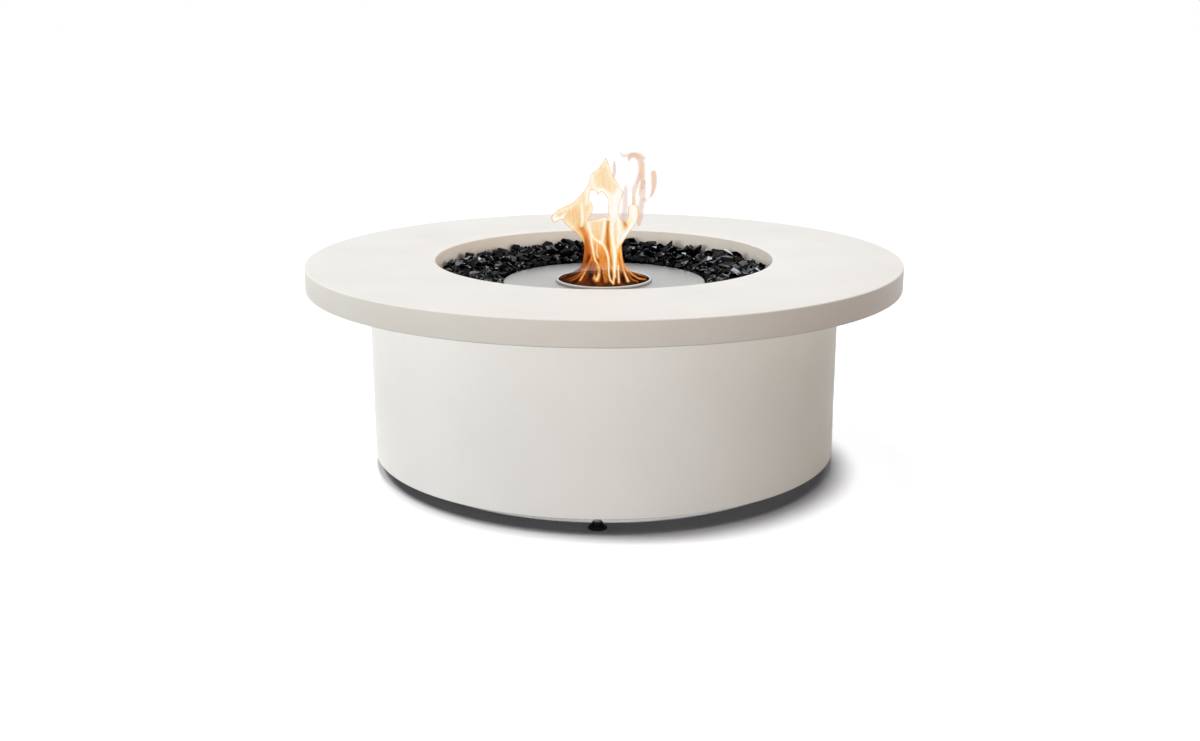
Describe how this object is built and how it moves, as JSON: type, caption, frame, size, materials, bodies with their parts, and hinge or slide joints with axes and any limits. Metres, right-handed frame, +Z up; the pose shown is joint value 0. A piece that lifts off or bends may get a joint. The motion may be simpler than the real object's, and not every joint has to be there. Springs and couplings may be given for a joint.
{
  "type": "bioethanol fire table",
  "caption": "Round low fire table: a wide cast disc top on a set-back drum with levelling feet, and a central well of black fire glass round a drop-in stainless burner.",
  "frame": {"origin": "on the floor under the centre of the table, at the bottom centre of its box", "axes": "+Z up along the table's round centre line, -Y towards the front, where one levelling foot stands"},
  "size_m": [1.25, 1.25, 0.435],
  "materials": {
    "cast_composite": "matte",
    "brushed_stainless": "brushed",
    "black_fire_glass": "polished",
    "black_coated_steel": "satin",
    "zinc_plated_steel": "satin",
    "brass": "satin",
    "black_rubber": "matte",
    "black_nylon": "matte"
  },
  "bodies": {
    "table": {"table_top": "cast_composite", "base_drum": "cast_composite", "bedding_strip": "black_rubber", "top_bolts": "zinc_plated_steel", "top_washers": "zinc_plated_steel", "top_inserts": "brass", "foot_inserts": "brass", "lock_nuts": "zinc_plated_steel"},
    "insert_tray": {"insert_tray": "black_coated_steel", "glass_bed": "black_fire_glass", "glass_chips": "black_fire_glass"},
    "burner": {"burner_casing": "brushed_stainless", "burner_top_plate": "brushed_stainless", "burner_neck": "brushed_stainless", "flame_baffle": "brushed_stainless", "fuel_level_strip": "brushed_stainless"},
    "efficiency_ring": {"efficiency_ring": "brushed_stainless"},
    "front_foot": {"foot_pad_front": "black_nylon"},
    "front_stud": {"foot_stud_front": "zinc_plated_steel"},
    "right_foot": {"foot_pad_right": "black_nylon"},
    "right_stud": {"foot_stud_right": "zinc_plated_steel"},
    "back_foot": {"foot_pad_back": "black_nylon"},
    "back_stud": {"foot_stud_back": "zinc_plated_steel"},
    "left_foot": {"foot_pad_left": "black_nylon"},
    "left_stud": {"foot_stud_left": "zinc_plated_steel"}
  },
  "joints": [
    {"name": "tray_lift", "type": "slide", "parent": "table", "child": "insert_tray", "axis": [0, 0, 1], "range_m": [0, 0.18]},
    {"name": "burner_lift", "type": "slide", "parent": "insert_tray", "child": "burner", "axis": [0, 0, 1], "range_m": [0, 0.18]},
    {"name": "ring_lift", "type": "slide", "parent": "burner", "child": "efficiency_ring", "axis": [0, 0, 1], "range_m": [0, 0.08]},
    {"name": "front_foot_level", "type": "slide", "parent": "table", "child": "front_foot", "axis": [0, 0, 1], "range_m": [-0.025, 0]},
    {"name": "front_stud_turn", "type": "hinge", "parent": "front_foot", "child": "front_stud", "pos_m": [0, -0.47, 0.013], "axis": [0, 0, 1], "range_deg": [-6010, 10]},
    {"name": "right_foot_level", "type": "slide", "parent": "table", "child": "right_foot", "axis": [0, 0, 1], "range_m": [-0.025, 0]},
    {"name": "right_stud_turn", "type": "hinge", "parent": "right_foot", "child": "right_stud", "pos_m": [0.47, 0, 0.013], "axis": [0, 0, 1], "range_deg": [-6010, 10]},
    {"name": "back_foot_level", "type": "slide", "parent": "table", "child": "back_foot", "axis": [0, 0, 1], "range_m": [-0.025, 0]},
    {"name": "back_stud_turn", "type": "hinge", "parent": "back_foot", "child": "back_stud", "pos_m": [0, 0.47, 0.013], "axis": [0, 0, 1], "range_deg": [-6010, 10]},
    {"name": "left_foot_level", "type": "slide", "parent": "table", "child": "left_foot", "axis": [0, 0, 1], "range_m": [-0.025, 0]},
    {"name": "left_stud_turn", "type": "hinge", "parent": "left_foot", "child": "left_stud", "pos_m": [-0.47, 0, 0.013], "axis": [0, 0, 1], "range_deg": [-6010, 10]}
  ],
  "couplings": [
    {"joint": "front_stud_turn", "follows": "front_foot_level", "rad_per_m": 4188.8},
    {"joint": "right_stud_turn", "follows": "right_foot_level", "rad_per_m": 4188.8},
    {"joint": "back_stud_turn", "follows": "back_foot_level", "rad_per_m": 4188.8},
    {"joint": "left_stud_turn", "follows": "left_foot_level", "rad_per_m": 4188.8}
  ]
}
